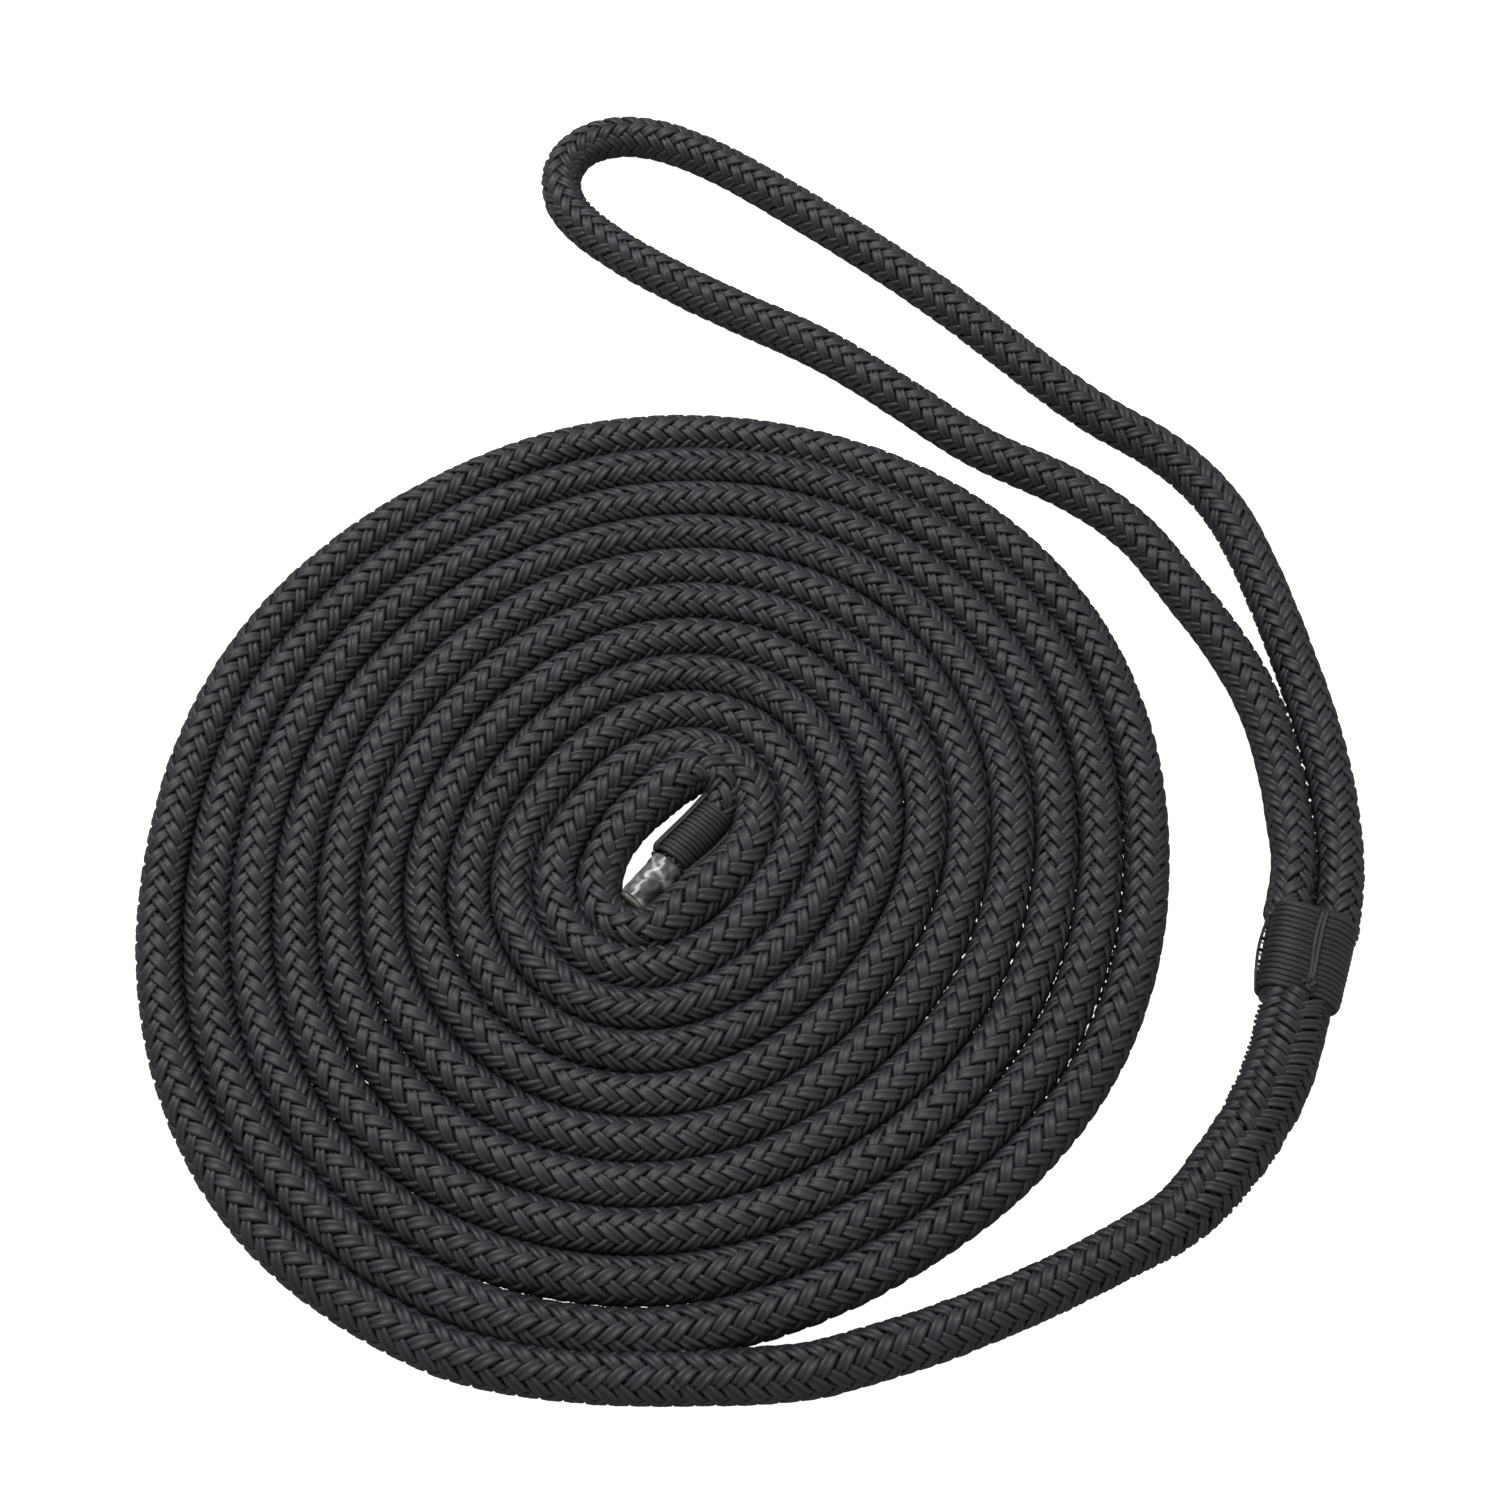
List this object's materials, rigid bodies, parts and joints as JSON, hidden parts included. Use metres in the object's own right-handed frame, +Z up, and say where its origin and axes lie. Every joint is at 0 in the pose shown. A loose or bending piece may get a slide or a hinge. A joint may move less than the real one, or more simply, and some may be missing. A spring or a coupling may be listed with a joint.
{
  "type": "dock line",
  "caption": "Coiled dock line: double-braid rope in a flat spiral coil, with a spliced and whipped mooring eye at one end and a whipped, sleeved bitter end at the other.",
  "frame": {"origin": "bottom centre of the whole line's box, on the surface it lies on", "axes": "+Z up from that surface, +Y along the eye's reach, away from the coil, +X towards the spliced throat"},
  "size_m": [0.2645, 0.3304, 0.0161],
  "materials": {
    "rope_cover": "black filament nylon braid with a soft sheen",
    "rope_core": "black nylon core braid",
    "whipping_twine": "fine waxed black twine",
    "shrink_sleeve": "clear heat-shrunk sleeve, wrinkled and glossy",
    "melted_nylon": "melted and set nylon"
  },
  "bodies": {
    "root": {"coil": "rope_cover", "standing_cover": "rope_cover", "standing_core": "rope_core", "taper_cover": "rope_cover", "taper_core": "rope_core", "splice_cover": "rope_cover", "splice_core": "rope_core", "buried_cover_tail": "rope_cover", "eye_cover": "rope_cover", "eye_core": "rope_core", "throat": "rope_cover", "throat_whipping": "whipping_twine", "throat_frapping": "whipping_twine", "throat_knot": "whipping_twine", "throat_side_strand": "whipping_twine", "end_cover": "rope_cover", "end_core": "rope_core", "end_whipping": "whipping_twine", "end_frapping": "whipping_twine", "end_sleeve": "shrink_sleeve", "fused_tip": "melted_nylon"}
  },
  "joints": []
}
